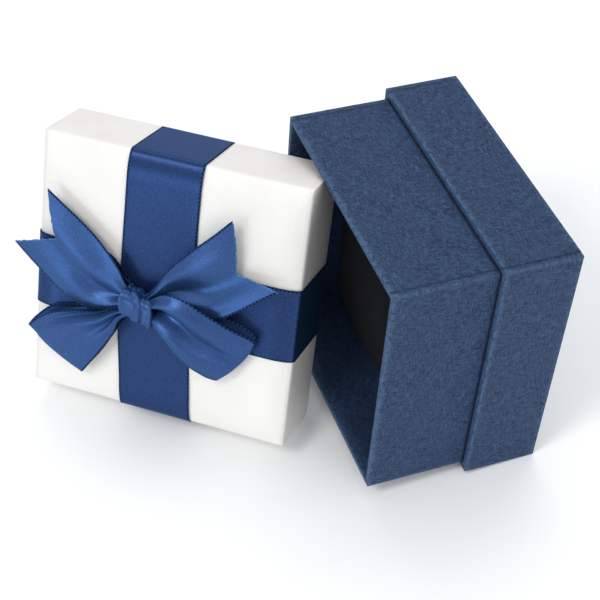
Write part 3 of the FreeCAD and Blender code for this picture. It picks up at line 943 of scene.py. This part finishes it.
def make_knot(material):
    """The ribbon gathered and wound once over the middle of the bow.

    angle runs round the wrap and t across the ribbon, whose outer parts are tucked under.
    """
    turns, columns = 100, 61
    shown = 0.62                                    # share of the ribbon that isn't tucked under
    angle = np.linspace(0, 2 * math.pi, turns)[:, None]
    across = across_positions(columns)
    t = (across / (RIBBON_WIDTH / 2))[None, :]
    off = np.abs(t)
    under = np.clip((off - shown) / (1 - shown), 0, 1)

    pleats = 0.30 * np.cos(2 * math.pi * 1.4 * t + 0.6)
    pleats = pleats + 0.10 * np.cos(2 * math.pi * 4.3 * t + 1.5 * angle)
    crease = -0.85 * np.exp(-((t - 0.14 - 0.06 * np.sin(angle)) / 0.035) ** 2)
    curl = 1.1 * np.exp(-((t + 0.12) / 0.2) ** 2 - ((angle - 0.45) / 0.28) ** 2)
    swell = (pleats + crease + curl) * (1 - under) - 1.7 * smooth_step(under, 0, 0.5)

    reach = np.minimum(off / shown, 1) + 0.06 * np.sin(math.pi * np.minimum(under / 0.5, 1))
    reach -= 0.62 * np.clip((under - 0.3) / 0.7, 0, 1) ** 1.2
    waist = 1 - 0.12 * np.cos(2 * angle)
    wide = np.sign(t) * reach * KNOT_WIDTH / 2 * waist
    high = squared(np.cos(angle), KNOT_HALF_HIGH)
    deep = squared(np.sin(angle), KNOT_HALF_DEEP)
    along = run_along(np.hstack([high, deep]))
    grown = 1 + swell / np.hypot(high, deep)
    high, deep = high * grown, deep * grown
    points = np.stack([KNOT[0] + wide - 0.02 * high, KNOT[1] + high - 0.28 * wide,
                       KNOT[2] + deep + LID_DEPTH], -1)
    ribbon_mesh("bow_knot_satin", points, along, across, material, None, ("bow_knot",))


def make_bow(material):
    make_tail("bow_left_tail_satin",
              [(-6.5, -2.0, 4.6), (-10.6, 2.3, 5.2), (-14.2, 7.8, 5.2), (-20.8, 14.3, 4.7),
               (-28.1, 19.8, 4.1), (-35.3, 24.6, 3.8), (-40.1, 27.7, 3.8)],
              [(-7, -4.5, 4.2), (-13, -6.4, 4.4), (-18.3, -9.0, 4.2), (-25.7, -10.0, 3.6),
               (-34.9, -6.3, 3.4), (-42.9, -0.3, 3.4), (-51.1, 6.8, 3.4)],
              (0.235, 0.44), (1.5, 0.0),
              [(0.34, 0.18, 1.2, 0.9, 0.05), (0.62, 0.12, -2.3, 0.8, -0.12),
               (0.86, 0.12, 1.2, 0.9, -0.05)],
              material, ("bow_left_tail",))
    make_tail("bow_right_tail_satin",
              [(-4, -0.5, 4.8), (-0.4, 4.5, 5.8), (3.4, 11.2, 5.6), (9.5, 18.3, 5.0),
               (17.1, 26.2, 5.0), (22.6, 32.3, 5.0)],
              [(-4, -3.5, 3.8), (4, -1.6, 3.4), (13.9, -1.6, 3.2), (21.4, -1.1, 3.6),
               (27.2, 2.5, 3.8), (33.9, 8.0, 3.8), (39.9, 12.9, 3.8)],
              (0.225, 0.58), (-0.9, 2.0),
              [(0.22, 0.10, 0.9, 1.0, 0.10), (0.50, 0.14, -2.2, 0.7, 0.15),
               (0.85, 0.1, 1.2, 1.3, 0.0)],
              material, ("bow_right_tail",))
    make_loop("bow_left_loop_satin",
              [(-6.5, -4.5, 4.8), (-12, -5.6, 6.4), (-19.4, -8.8, 7.4), (-28.2, -10.8, 7.3),
               (-36.6, -14.2, 6.0), (-42.6, -19.0, 4.4), (-45.6, -22.3, 3.2), (-43.2, -18.6, 2.1),
               (-37.3, -13.3, 1.4), (-28, -10.6, 1.5), (-16, -6.5, 2.2), (-6.5, -2.5, 3.4)],
              [(-6.5, -7.2, 4.4), (-11.9, -10.1, 5.6), (-14, -16.0, 6.4), (-19.2, -25.2, 5.9),
               (-24.0, -32.6, 4.2), (-25.4, -34.4, 3.0), (-24.0, -32.2, 1.9), (-19.4, -25.4, 1.1),
               (-13, -14, 1.5), (-6.5, -5, 3.0)],
              1.2, [(0.11, 0.07, -1.7, 0.4, 0.03), (0.30, 0.12, 2.0, 0.7, 0.05),
                    (0.60, 0.12, -1.8, 0.9, 0.0), (0.8, 0.1, 0.9, 1.4, 0.0)],
              material, ("bow_left_loop",))
    make_loop("bow_right_loop_satin",
              [(-4.5, -3.5, 4.6), (-0.9, 0.2, 6.4), (3.4, 3.5, 8.0), (9.6, 3.9, 8.7),
               (17.7, 0.6, 8.4), (25.4, -3.1, 6.8), (31.8, -5.8, 4.8), (33.6, -7.2, 3.8),
               (32.0, -4.8, 2.4), (24, -2.6, 1.5), (10, 0, 1.8), (-4.5, -1, 3.5)],
              [(-4.5, -7.0, 4.2), (0.4, -9.8, 5.4), (6.2, -14.8, 6.6), (11.6, -19.4, 6.2),
               (17.6, -22.8, 4.8), (21.2, -23.9, 3.8), (22.2, -23.9, 3.0), (20.5, -23.2, 1.8),
               (14, -19.5, 1.2), (4, -11, 1.6), (-4.5, -4, 3.2)],
              2.4, [(0.22, 0.14, 2.4, 1.1, 0.0), (0.46, 0.11, -3.6, 0.55, 0.06),
                    (0.76, 0.17, 2.8, 0.40, 0.0)],
              material, ("bow_right_loop",))
    make_knot(material)


# ---------------------------------------------------------------------------------------------
# CAD nodes that stay: boards, tapes, card and linings
# ---------------------------------------------------------------------------------------------
def dress_nodes(looks):
    """Gives each CAD node that stays its own material."""
    kept = {"plinth_board": "greyboard", "neck_board": "greyboard", "lid_board": "greyboard",
            "insert_card": "greyboard", "plinth_corner_tapes": "corner_tape",
            "neck_corner_tapes": "corner_tape", "lid_corner_tapes": "corner_tape",
            "floor_lining": "lining_paper", "lid_lining": "lid_lining"}
    for node, look in kept.items():
        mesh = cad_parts[node].data
        mesh.materials.clear()
        mesh.materials.append(looks[look])


looks = make_materials()
make_camera()
make_stage()
make_plinth_paper(looks["linen_paper"])
make_neck_paper(looks["linen_paper"])
make_pad("pad_velvet", looks["velvet"], inset=0.0, replaced=("insert_velvet",))
make_pad("pad_foam", looks["foam"], inset=0.7, replaced=("insert_foam",))
make_lid_paper(looks["white_paper"])
make_wadding(looks["foam"])
# The bands get the darker painted copy of the satin, the bow the brighter one.
make_bands(looks["satin"])
make_bow(looks["satin_bow_painted_brighter"])
dress_nodes(looks)
